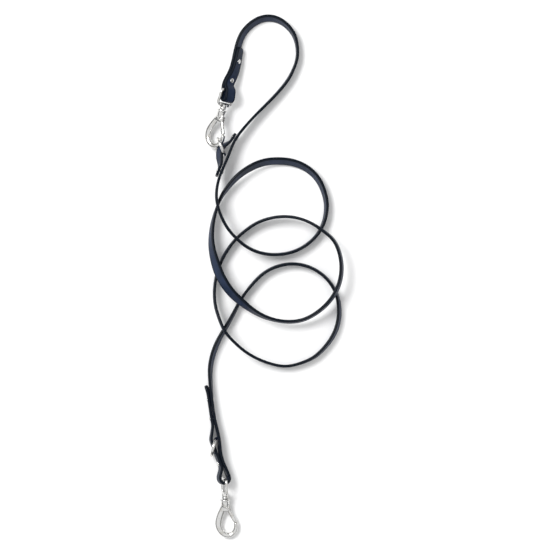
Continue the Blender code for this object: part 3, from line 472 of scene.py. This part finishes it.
def bridle_leather(settings):
    """Drum-dyed bridle leather: a fine pebbled grain with pores, waxed to a low sheen, and burnished edges that
    are darker and glossier than the faces."""
    material = bpy.data.materials.get("dyed_bridle_leather")
    if material:
        return material
    material, tree, shader, place = new_material("dyed_bridle_leather")
    # Cells about 0.9 mm wide, which is the grain of bridle leather drawn a little coarse so that it shows.
    cells = add_node(tree, "TexVoronoi", {"Scale": 1 / settings.grain, "Randomness": 0.9}, place,
                     feature="DISTANCE_TO_EDGE")
    creases = add_node(tree, "MapRange", {"From Max": 0.22}, {"Value": (cells, "Distance")})
    # Pores a third of a cell wide.
    pores = add_node(tree, "TexNoise", {"Scale": 3 / settings.grain, "Detail": 3, "Roughness": 0.6}, place)
    # Patches of 30 mm where the dye took more or less.
    patches = add_node(tree, "TexNoise", {"Scale": 33, "Detail": 4, "Roughness": 0.55}, place)
    spread = add_node(tree, "MapRange", {"From Min": 0.36, "From Max": 0.64}, {"Value": (patches, "Fac")})
    dyed = add_node(tree, "Mix", {"A": linear(settings.deep), "B": linear(settings.face)},
                    {"Factor": (spread, "Result")}, data_type="RGBA")
    burnish = add_node(tree, "Attribute", attribute_name="burnish")
    edged = add_node(tree, "Mix", {"B": linear(settings.edge)}, {"Factor": (burnish, "Fac"), "A": (dyed, "Result")},
                     data_type="RGBA")
    height = add_node(tree, "Math", {1: 0.35}, {0: (pores, "Fac"), 2: (creases, "Result")}, operation="MULTIPLY_ADD")
    # Burnishing rubs the grain flat along the edges.
    kept = add_node(tree, "MapRange", {"To Min": 0.35, "To Max": 0.04}, {"Value": (burnish, "Fac")})
    bump = add_node(tree, "Bump", {"Distance": 0.00012}, {"Height": (height, "Value"), "Strength": (kept, "Result")})
    gloss = add_node(tree, "MapRange", {"From Min": 0.3, "From Max": 0.7, "To Min": 0.4, "To Max": 0.54},
                     {"Value": (pores, "Fac")})
    waxed = add_node(tree, "Mix", {"B": 0.34}, {"Factor": (burnish, "Fac"), "A": (gloss, "Result")})
    set_inputs(tree, shader, {"IOR": 1.5, "Specular IOR Level": 0.09},
               {"Base Color": (edged, "Result"), "Normal": (bump, "Normal"), "Roughness": (waxed, "Result")})
    return material


def polished_nickel(settings):
    """Bright nickel plate on cast zinc: tumbled and buffed, so it is nearly a mirror, warmer than chrome, with
    hairline polishing marks that cloud the reflections a little."""
    material = bpy.data.materials.get("buffed_nickel_plate")
    if material:
        return material
    material, tree, shader, place = new_material("buffed_nickel_plate")
    # Buffing hairlines, 0.3 mm apart and ten times as long.
    stretch = add_node(tree, "Mapping", {"Scale": (3300, 330, 3300)}, place)
    hairlines = add_node(tree, "TexNoise", {"Scale": 1, "Detail": 2}, {"Vector": (stretch, "Vector")})
    clouds = add_node(tree, "TexNoise", {"Scale": 220, "Detail": 3}, place)
    mixed = add_node(tree, "Math", links={0: (hairlines, "Fac"), 1: (clouds, "Fac")}, operation="ADD")
    gloss = add_node(tree, "MapRange", {"From Min": 0.7, "From Max": 1.3, "To Min": 0.06, "To Max": 0.15},
                     {"Value": (mixed, "Value")})
    bump = add_node(tree, "Bump", {"Strength": 0.08, "Distance": 0.00003}, {"Height": (hairlines, "Fac")})
    # Handling leaves a faint warmer haze in patches a few millimetres wide.
    haze = add_node(tree, "MapRange", {"From Min": 0.45, "From Max": 0.75}, {"Value": (clouds, "Fac")})
    plate = add_node(tree, "Mix", {"A": linear(settings.nickel), "B": linear(settings.haze)},
                     {"Factor": (haze, "Result")}, data_type="RGBA")
    set_inputs(tree, shader, {"Metallic": 1},
               {"Base Color": (plate, "Result"), "Normal": (bump, "Normal"), "Roughness": (gloss, "Result")})
    return material


def drawn_spring_steel(settings):
    """Hard-drawn spring wire: bare steel with a fine lengthwise grain from the die, duller than the plate."""
    material = bpy.data.materials.get("drawn_spring_steel")
    if material:
        return material
    material, tree, shader, place = new_material("drawn_spring_steel")
    # Die marks 0.4 mm apart, which is coarser than the real ones, so that they show.
    grain = add_node(tree, "TexNoise", {"Scale": 2500, "Detail": 2}, place)
    gloss = add_node(tree, "MapRange", {"To Min": 0.28, "To Max": 0.42}, {"Value": (grain, "Fac")})
    marked = add_node(tree, "Mix", {"A": linear(settings.drawn), "B": linear(settings.steel)},
                      {"Factor": (grain, "Fac")}, data_type="RGBA")
    set_inputs(tree, shader, {"Metallic": 1}, {"Base Color": (marked, "Result"), "Roughness": (gloss, "Result")})
    return material


def paper_sweep(settings):
    """Matt studio background paper: plain and nearly white, with a faint tooth."""
    material, tree, shader, place = new_material("background_paper")
    # A tooth of about 1 mm.
    tooth = add_node(tree, "TexNoise", {"Scale": 900, "Detail": 2}, place)
    bump = add_node(tree, "Bump", {"Strength": 0.03, "Distance": 0.0001}, {"Height": (tooth, "Fac")})
    set_inputs(tree, shader, {"Base Color": linear(settings.floor), "Roughness": 0.85, "Specular IOR Level": 0.2},
               {"Normal": (bump, "Normal")})
    return material


# ---- where the strap runs ----

POINTS = np.array(ROUTE, float)
KNOTS = distances_along(POINTS[:, :2])
ROUTE_LENGTH = KNOTS[-1]


def strap_frames(places, leather):
    """Centre, way along, width direction and left face normal of the strap's main layer at each place."""
    read = natural_spline(KNOTS, POINTS, places)
    ahead = natural_spline(KNOTS, POINTS, np.minimum(places + LOOK_AHEAD, ROUTE_LENGTH))
    behind = natural_spline(KNOTS, POINTS, np.maximum(places - LOOK_AHEAD, 0))
    lean = np.radians(read[:, 3])
    height = leather.width * np.cos(lean) + leather.thickness * np.abs(np.sin(lean))
    centre = np.column_stack([read[:, :2], np.maximum(read[:, 2], 0) + height / 2]) + CENTRING
    along = unit((ahead - behind)[:, :3])
    left = unit(np.cross((0, 0, 1), along))
    up = np.cross(along, left)
    wide = np.cos(lean)[:, None] * up + np.sin(lean)[:, None] * left
    return centre, along, wide, np.cross(wide, along)


def layer_space(table, distances, leather):
    """Centre-to-centre distance of two layers: the table read over a short window and averaged."""
    knots, spaces = np.array(table, float).T
    window = np.linspace(-LAYER_SMOOTHING, LAYER_SMOOTHING, LAYER_SAMPLES)[:, None]
    return leather.thickness + MM * np.interp((distances + window) / MM, knots, spaces).mean(axis=0)


def beside(places, distances, table, leather):
    """Centres and width directions of a layer lying on the right of the main one."""
    centre, _, wide, normal = strap_frames(places, leather)
    return centre - normal * layer_space(table, distances, leather)[:, None], wide


def half_turn(at_start, table, leather):
    """A half circle from the main layer round to the folded one, at the start or the end of the route."""
    place = np.array([0 if at_start else ROUTE_LENGTH])
    centre, along, wide, normal = (v[0] for v in strap_frames(place, leather))
    outward = -along if at_start else along
    half = layer_space(table, np.array([0.0]), leather)[0] / 2
    turn = np.radians(np.linspace(0, 180, FOLD_STEPS + 2)[1:-1])[:, None]
    points = centre - normal * half + half * (normal * np.cos(turn) + outward * np.sin(turn))
    return points, np.repeat(wide[None], FOLD_STEPS, axis=0)


def spaced(start, end):
    """Even places from start to end, about one strap step apart."""
    return np.linspace(start, end, int(abs(end - start) / STRAP_STEP) + 1)


def strap_line(leather):
    """The whole strap from the upper folded end to the lower one: its centre line and width directions."""
    upper = spaced(UPPER_TAIL[-1][0] * MM, 0)
    lower = spaced(0, LOWER_TAIL[-1][0] * MM)
    upper_points, upper_wide = beside(upper, upper, UPPER_TAIL, leather)
    lower_points, lower_wide = beside(ROUTE_LENGTH - lower, lower, LOWER_TAIL, leather)
    first_turn, first_wide = half_turn(True, UPPER_TAIL, leather)
    last_turn, last_wide = half_turn(False, LOWER_TAIL, leather)
    main, _, main_wide, _ = strap_frames(spaced(0, ROUTE_LENGTH), leather)
    points = np.vstack([upper_points, first_turn[::-1], main, last_turn, lower_points])
    return points, np.vstack([upper_wide, first_wide, main_wide, last_wide, lower_wide])


def leather_bar(name, points, wide, leather, end_round):
    """A strap of rounded section along the line, its ends rounded seen from the face. The section is a
    rectangle with quarter-round corners; near an end its half width follows a circle of the end radius."""
    place = distances_along(points)
    length = place[-1]
    near = np.array(END_ROWS) * MM
    middle = np.linspace(END_ZONE, length - END_ZONE, int(length / STRAP_STEP))
    rows = np.concatenate([near, middle, length - near[::-1]])
    read = np.column_stack([np.interp(rows, place, column) for column in (*points.T, *wide.T)])
    half_width, half_thick, corner = leather.width / 2, leather.thickness / 2, leather.edge_round
    flat = np.linspace(-1, 1, FACE_POINTS) * (half_width - corner)
    side = np.linspace(-1, 1, SIDE_POINTS) * (half_thick - corner)
    quarter = np.radians(np.linspace(0, 90, CORNER_POINTS + 2)[1:-1])
    corner_cos, corner_sin = corner * np.cos(quarter), corner * np.sin(quarter)
    across = np.concatenate([flat, half_width - corner + corner_sin, np.full(SIDE_POINTS, half_width),
                             half_width - corner + corner_cos])
    face = np.concatenate([np.full(FACE_POINTS, half_thick), half_thick - corner + corner_cos, side[::-1],
                           -half_thick + corner - corner_sin])
    # The other half of the section is this half turned round its centre.
    across, face = np.append(across, -across), np.append(face, -face)
    crown = FACE_CROWN * (1 - (across / half_width) ** 2)
    face = face + np.sign(face) * crown
    from_end = np.minimum(rows, length - rows)
    inside = np.clip(end_round - from_end, 0, end_round)
    kept_width = half_width - end_round + np.sqrt(end_round**2 - inside**2)
    burr = np.clip(corner - from_end, 0, corner)
    kept_depth = (half_thick - corner + np.sqrt(corner**2 - burr**2)) / half_thick
    grid = swept(read[:, :3], read[:, 3:], across * (kept_width / half_width)[:, None], face * kept_depth[:, None])
    piece = make_piece(name, [(grid, False)], bridle_leather(leather))
    to_edge = half_width - corner - np.abs(across)
    edge = np.clip(1 - to_edge / EDGE_BURNISH, 0, 1)
    cut_end = np.clip(1 - from_end / END_BURNISH, 0, 1)
    burnish = np.maximum(edge[None], cut_end[:, None]).reshape(-1)
    set_attribute(piece, "burnish", np.concatenate([burnish, [1, 1]]))
    return piece, read[:, :3]


# ---- the snap hook's own frame ----


def hook_axes(side, of_eye):
    """Origin on the swivel's face, and the X, Y and Z directions, of a hook's eye or of its body."""
    swivel = JOINTS[side + "_hook_swivel"]
    along = unit(-np.array(swivel["axis"], float))
    if of_eye:
        across = np.array(JOINTS[side + "_eye_pivot"]["axis"], float)
        across = unit(across - along * across.dot(along))
        up = np.cross(across, along)
    else:
        up = unit(-np.array(JOINTS[side + "_gate_pivot"]["axis"], float))
        across = np.cross(along, up)
    return np.array(swivel["pos_m"], float), np.array([across, along, up])


def placed(grid, axes):
    """A grid in a hook's own millimetres, put where the hook is."""
    origin, directions = axes
    return origin + grid * MM @ directions


def hook_piece(name, axes, grids, material=None, loops=()):
    """One mesh from grids in a hook's own millimetres: loops whose rows join up, then grids with closed ends."""
    shells = [(placed(grid, axes), True) for grid in loops] + [(placed(grid, axes), False) for grid in grids]
    return make_piece(name, shells, material)


def end_share(from_end, radius, least):
    """The share of a section that is left near an end: a quarter circle whose square stays above the least."""
    gone = np.clip(1 - from_end / radius, 0, 1)
    return np.sqrt(np.maximum(1 - gone**2, least))


def carried(points, half_depth, half_width, power, count):
    """A superellipse section carried along a line in a hook's frame, its depth along the frame's Z."""
    upright = np.repeat([[0.0, 0.0, 1.0]], len(points), axis=0)
    x, z = superellipse(power, count)
    return swept(points, upright, half_depth[:, None] * z, half_width[:, None] * x)


def rounded_rectangle(half_width, low, high, corner, per_corner=10, per_side=8):
    """Points round a rectangle whose corners are quarter circles."""
    points = []
    for x, y, start in ((1, high, 0), (-1, high, 90), (-1, low, 180), (1, low, 270)):
        centre = np.array((x * (half_width - corner), y - corner if y == high else y + corner))
        angle = np.radians(np.linspace(start, start + 90, per_corner))
        points.append(centre + corner * np.column_stack([np.cos(angle), np.sin(angle)]))
    closed = []
    for here, after in zip(points, points[1:] + points[:1]):
        share = np.linspace(0, 1, per_side + 2)[1:-1, None]
        closed += [here, here[-1] + (after[0] - here[-1]) * share]
    return np.vstack(closed)


def closed_wire(loop, radius, count=20):
    """A round wire on a closed flat loop in XY: each row is a circle in the plane of the loop's normal and Z."""
    along = unit(np.roll(loop, -1, axis=0) - np.roll(loop, 1, axis=0))
    side = np.column_stack([along[:, 1], -along[:, 0]])
    angle = full_turn(count)
    flat = loop[:, None] + side[:, None] * (radius * np.cos(angle))[None, :, None]
    lift = np.repeat((radius * np.sin(angle))[None], len(loop), axis=0)
    return np.concatenate([flat, lift[..., None]], axis=-1)


def swivel_eye(side, metal):
    """A D-shaped wire eye cast in one with its base block, its boss and the headed post the hook turns on."""
    wire = closed_wire(rounded_rectangle(EYE_HALF_WIDTH, EYE_LOW, EYE_HIGH, EYE_CORNER), metal.eye_wire / MM)
    base = rounded_block(EYE_BASE_CENTRE, EYE_BASE_HALF, EYE_BASE_POWER)
    boss = lathe(rounded_profile(BOSS), WIDE_LATHE)
    post = lathe(rounded_profile(POST), NARROW_LATHE)
    eye = hook_piece(side + "_eye", hook_axes(side, True), (base, boss, post), polished_nickel(metal), (wire,))
    return finished(eye, EYE_VOXEL, CASTING_PASSES)


def bow_grid():
    """The bow: a superellipse section carried along the bow's centre line, its ends closed by a quarter circle."""
    line = through(BOW_LINE, BOW_ROWS)
    onward = line[-1] - line[-2]
    nose = line[-1] + onward / np.linalg.norm(onward[:2]) * NOSE_REACH * np.linspace(0, 1, NOSE_ROWS)[1:, None]
    line = np.vstack([line, nose])
    reach = distances_along(line[:, :2])
    keep = end_share(np.minimum(reach, reach[-1] - reach), *BOW_END)
    points = np.column_stack([line[:, :2], np.zeros(len(line))])
    return carried(points, BOW_HALF_THICKNESS * keep, line[:, 2] * keep, BOW_POWER, BOW_SECTION)


def hook_body(side, metal):
    """The cast hook: a beaded collar, a forked yoke and the teardrop bow, fused, then bored for the swivel post
    and slotted for the gate."""
    axes = hook_axes(side, False)
    collar = lathe(rounded_profile(COLLAR), WIDE_LATHE)
    yoke = rounded_block(YOKE_CENTRE, YOKE_HALF, YOKE_POWER)
    body = hook_piece(side + "_cast_hook", axes, (bow_grid(), collar, yoke), polished_nickel(metal))
    bore = hook_piece(side + "_bore", axes, (lathe(BORE, NARROW_LATHE),))
    slot = hook_piece(side + "_slot", axes, (rounded_block(YOKE_SLOT_CENTRE, YOKE_SLOT_HALF, BLOCK_POWER),))
    return finished(body, BODY_VOXEL, CASTING_PASSES, (bore, slot))


def gate_bar(side, metal):
    """The gate: a superellipse section carried from the pin to the nose, widening by a quarter sine, with a round
    root on the pin and a slot for the spring."""
    axes = hook_axes(side, False)
    start, tip = np.array(PIN_PLACE), np.array(GATE_TIP)
    along = unit(tip - start)
    end = tip + along * GATE_REACH
    share = np.linspace(0, 1, GATE_ROWS)
    points = np.column_stack([start + (end - start) * share[:, None], np.zeros(GATE_ROWS)])
    reach = share * np.linalg.norm(end - start)
    keep = end_share(reach[-1] - reach, *GATE_END)
    half = (GATE_ROOT_HALF_WIDTH + GATE_WIDENING * np.sin(math.pi * share / 2)) * keep
    bar = carried(points, GATE_HALF_THICKNESS * keep, half, GATE_POWER, GATE_SECTION)
    root = lathe(rounded_profile(GATE_ROOT), NARROW_LATHE, axis=2)
    root[..., :2] += start
    gate = hook_piece(side + "_gate_bar", axes, (bar, root), polished_nickel(metal))
    block = rounded_block((0, SPRING_SLOT_AHEAD, 0), SPRING_SLOT_HALF, BLOCK_POWER)
    turned = block[..., :1] * np.array((along[1], -along[0])) + block[..., 1:2] * along + start
    slot = hook_piece(side + "_spring_slot", axes, (np.dstack([turned, block[..., 2]]),))
    return finished(gate, GATE_VOXEL, GATE_PASSES, (slot,))


def gate_pin(side, metal):
    """A rivet through the yoke's cheeks with a low domed head at each end."""
    grid = lathe(both_ends(PIN_END), PIN_LATHE, axis=2)
    grid[..., :2] += PIN_PLACE
    return hook_piece(side + "_pin", hook_axes(side, False), (grid,), polished_nickel(metal))


def gate_spring(side, metal):
    """A torsion spring round the pin: a helix of three turns with a straight leg along the gate."""
    start = np.array(PIN_PLACE)
    along = unit(np.array(GATE_TIP) - start)
    first = math.atan2(along[1], along[0]) + math.pi / 2
    angle = first + np.linspace(0, 2 * math.pi * COIL_TURNS, COIL_ROWS)
    coil = np.column_stack([start[0] + COIL_RADIUS * np.cos(angle), start[1] + COIL_RADIUS * np.sin(angle),
                            np.linspace(-COIL_HALF_HEIGHT, COIL_HALF_HEIGHT, COIL_ROWS)])
    leg = coil[0] + np.append(along, 0) * np.linspace(COIL_LEG, COIL_LEG_END, COIL_LEG_ROWS)[:, None]
    points = np.vstack([leg, coil])
    half = np.full(len(points), COIL_WIRE)
    grid = carried(points, half, half, CIRCLE_POWER, COIL_SECTION)
    return hook_piece(side + "_spring", hook_axes(side, False), (grid,), drawn_spring_steel(metal))


def fasten(piece, body, slot, *nodes):
    """Rides the piece on its body and hides the plain solids it stands for; the slot argument is not used."""
    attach(piece, body)
    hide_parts(*nodes)


# ---- operators ----


class LEASH_OT_stage(Operator):
    """Lays the paper floor, sets the soft studio light and puts the camera over the leash"""
    bl_idname = "leash.stage"
    bl_label = "Stage"

    def execute(self, context):
        settings = context.scene.leash_stage
        half = settings.floor_size / 2
        mesh = bpy.data.meshes.new("paper_floor")
        mesh.from_pydata([(-half, -half, 0), (half, -half, 0), (half, half, 0), (-half, half, 0)], [], [(0, 1, 2, 3)])
        mesh.materials.append(paper_sweep(settings))
        floor = bpy.data.objects.new("paper_floor", mesh)
        context.scene.collection.objects.link(floor)
        self.light(context, settings)
        self.surround(context, settings)
        camera_data = bpy.data.cameras.new("camera")
        camera_data.sensor_width = SENSOR_WIDTH
        camera_data.lens = SENSOR_WIDTH * settings.camera_height / settings.view_width
        camera_data.clip_end = 50
        camera = bpy.data.objects.new("camera", camera_data)
        camera.location = (*settings.view_centre, settings.camera_height + SUBJECT_HEIGHT)
        context.scene.collection.objects.link(camera)
        context.scene.camera = camera
        context.scene.view_settings.view_transform = "Standard"
        return {"FINISHED"}

    @staticmethod
    def light(context, settings):
        """One large soft light, up and to the left, so that shadows fall down and to the right."""
        data = bpy.data.lights.new("softbox", "AREA")
        data.shape = "DISK"
        data.size = KEY_SIZE
        data.energy = settings.key_power
        softbox = bpy.data.objects.new("softbox", data)
        towards = unit(np.array(KEY_DIRECTION))
        softbox.location = towards * KEY_DISTANCE
        softbox.rotation_mode = "QUATERNION"
        softbox.rotation_quaternion = Vector(towards).to_track_quat("Z", "Y")
        context.scene.collection.objects.link(softbox)

    @staticmethod
    def surround(context, settings):
        """A white room: bright overhead, and greyer towards the horizon, which gives metal its dark outlines."""
        world = bpy.data.worlds.new("white_room")
        world.use_nodes = True
        tree = world.node_tree
        place = add_node(tree, "TexCoord")
        split = add_node(tree, "SeparateXYZ", links={"Vector": (place, "Generated")})
        ramp = add_node(tree, "ValToRGB", links={"Fac": (split, "Z")})
        stops = ramp.color_ramp.elements
        for position, _ in ROOM_STOPS[1:-1]:
            stops.new(position)
        for stop, (_, colour) in zip(stops, ROOM_STOPS):
            stop.color = linear(colour)
        set_inputs(tree, tree.nodes["Background"], {"Strength": settings.sky_strength}, {"Color": (ramp, "Color")})
        context.scene.world = world


class LEASH_OT_tab(Operator):
    """Makes the short tab that holds the handle ring beside the strap"""
    bl_idname = "leash.ring_tab"
    bl_label = "Ring tab"

    def execute(self, context):
        leather = context.scene.leash_leather
        distances = spaced(0, TAB_LENGTH)
        places = KNOTS[TAB_FROM_POINT] + TAB_START + distances
        points, wide = beside(places, distances, TAB_SPACE, leather)
        # The free middle of the tab tips its upper edge towards the strap as it bows round the ring.
        normal = strap_frames(places, leather)[-1]
        lean = np.radians(TAB_LEAN * np.interp(distances / MM, TAB_LEAN_PLACES, (0, 1, 1, 0)))[:, None]
        wide = wide * np.cos(lean) + normal * np.sin(lean)
        tab, _ = leather_bar("ring_tab", points, wide, leather, TAB_END_ROUND)
        fasten(tab, "leash", "navy_leather", "handle_ring_tab")
        return {"FINISHED"}


class LEASH_OT_rivets(Operator):
    """Makes the seven double-headed rivets, one through each pair of leather layers"""
    bl_idname = "leash.rivets"
    bl_label = "Rivets"

    def execute(self, context):
        leather, metal = context.scene.leash_leather, context.scene.leash_metal
        for name, distance in RIVETS.items():
            group = name.split("_")[0]
            place = {"upper": distance, "tab": KNOTS[TAB_FROM_POINT] + TAB_START + distance,
                     "lower": ROUTE_LENGTH - distance}[group]
            table = {"upper": UPPER_TAIL, "tab": TAB_SPACE, "lower": LOWER_TAIL}[group]
            space = layer_space(table, np.array([distance]), leather)[0]
            centre, _, wide, normal = (v[0] for v in strap_frames(np.array([place]), leather))
            middle = centre - normal * space / 2
            reach = (space + leather.thickness) / 2 - RIVET_SINK
            radius, dome = metal.rivet_radius, metal.rivet_dome
            angle = np.radians(np.linspace(90, 0, DOME_POINTS))
            head = [(radius * math.cos(a), reach + dome * (RIVET_RIM + (1 - RIVET_RIM) * math.sin(a))) for a in angle]
            head += [(radius * out, reach + dome * up) for out, up in RIVET_FOOT]
            grid = lathe(both_ends(head), NARROW_LATHE, axis=2)
            directions = np.array([np.cross(wide, normal), wide, normal])
            rivet = make_piece(name, [(middle + grid @ directions, False)], polished_nickel(metal))
            fasten(rivet, "leash", "nickel_plate", name + "_head", name + "_cap")
        return {"FINISHED"}


class LEASH_OT_rings(Operator):
    """Makes the two round welded rings"""
    bl_idname = "leash.rings"
    bl_label = "Rings"

    def execute(self, context):
        metal = context.scene.leash_metal
        for side in ("handle", "lower"):
            joint = JOINTS[side + "_ring_turn"]
            normal = unit(np.array(joint["axis"], float))
            level = np.cross((0, 0, 1), normal)
            turn = full_turn(RING_ROWS)
            # The butt weld stands a little proud of the wire.
            weld = 1 + WELD_RISE * np.exp(-(((turn - WELD_ANGLE) / WELD_WIDTH) ** 2))
            loop = metal.ring_radius * np.column_stack([np.cos(turn), np.sin(turn)])
            around = full_turn(RING_SECTION)
            out = unit(loop)[:, None] * (metal.ring_wire * weld[:, None] * np.cos(around))[..., None]
            lift = metal.ring_wire * weld[:, None] * np.sin(around)
            grid = np.concatenate([loop[:, None] + out, lift[..., None]], axis=-1)
            directions = np.array([level, np.cross(normal, level), normal])
            ring = make_piece(side + "_round_ring", [(np.array(joint["pos_m"]) + grid @ directions, True)],
                              polished_nickel(metal))
            fasten(ring, side + "_ring", "nickel_plate", side + "_ring")
        return {"FINISHED"}


class LEASH_OT_hooks(Operator):
    """Makes both swivel snap hooks, each with its eye, body, gate, pin and spring"""
    bl_idname = "leash.snap_hooks"
    bl_label = "Snap hooks"

    def execute(self, context):
        metal = context.scene.leash_metal
        for side in ("upper", "lower"):
            fasten(swivel_eye(side, metal), side + "_eye", "nickel_plate", side + "_swivel_eye")
            fasten(hook_body(side, metal), side + "_hook", "nickel_plate", side + "_hook_body")
            fasten(gate_bar(side, metal), side + "_gate", "nickel_plate", side + "_gate")
            fasten(gate_pin(side, metal), side + "_hook", "nickel_plate", side + "_gate_pin")
            fasten(gate_spring(side, metal), side + "_hook", "spring_steel", side + "_gate_spring")
        return {"FINISHED"}


class LEASH_OT_strap(Operator):
    """Makes the long strap with its two folded ends, in one piece"""
    bl_idname = "leash.strap"
    bl_label = "Strap"

    def execute(self, context):
        leather = context.scene.leash_leather
        points, wide = strap_line(leather)
        strap, centre_line = leather_bar("leather_strap", points, wide, leather, STRAP_END_ROUND)
        fasten(strap, "leash", "navy_leather", *STRAP_NODES)
        return {"FINISHED"}


class LEASH_PT_panel(Panel):
    """Lists the leash's pieces"""
    bl_label = "Training leash"
    bl_idname = "LEASH_PT_panel"
    bl_space_type = "VIEW_3D"
    bl_region_type = "UI"
    bl_category = "Leash"

    def draw(self, context):
        for operator in OPERATORS:
            self.layout.operator(operator.bl_idname)
        for group in GROUPS:
            box = self.layout.box()
            settings = getattr(context.scene, group)
            for name in settings.__annotations__:
                box.prop(settings, name)


GROUPS = {"leash_leather": LeashLeather, "leash_metal": LeashMetal, "leash_stage": LeashStage}
OPERATORS = (LEASH_OT_stage, LEASH_OT_tab, LEASH_OT_rivets, LEASH_OT_rings, LEASH_OT_hooks, LEASH_OT_strap)
CLASSES = (*GROUPS.values(), *OPERATORS, LEASH_PT_panel)


def register():
    for item in CLASSES:
        bpy.utils.register_class(item)
    for name, group in GROUPS.items():
        setattr(bpy.types.Scene, name, PointerProperty(type=group))


def unregister():
    for name in GROUPS:
        delattr(bpy.types.Scene, name)
    for item in reversed(CLASSES):
        bpy.utils.unregister_class(item)


def main():
    register()
    bpy.ops.leash.stage()
    bpy.ops.leash.ring_tab()
    bpy.ops.leash.rivets()
    bpy.ops.leash.rings()
    bpy.ops.leash.snap_hooks()
    bpy.ops.leash.strap()
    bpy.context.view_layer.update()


if __name__ == "__main__":
    main()
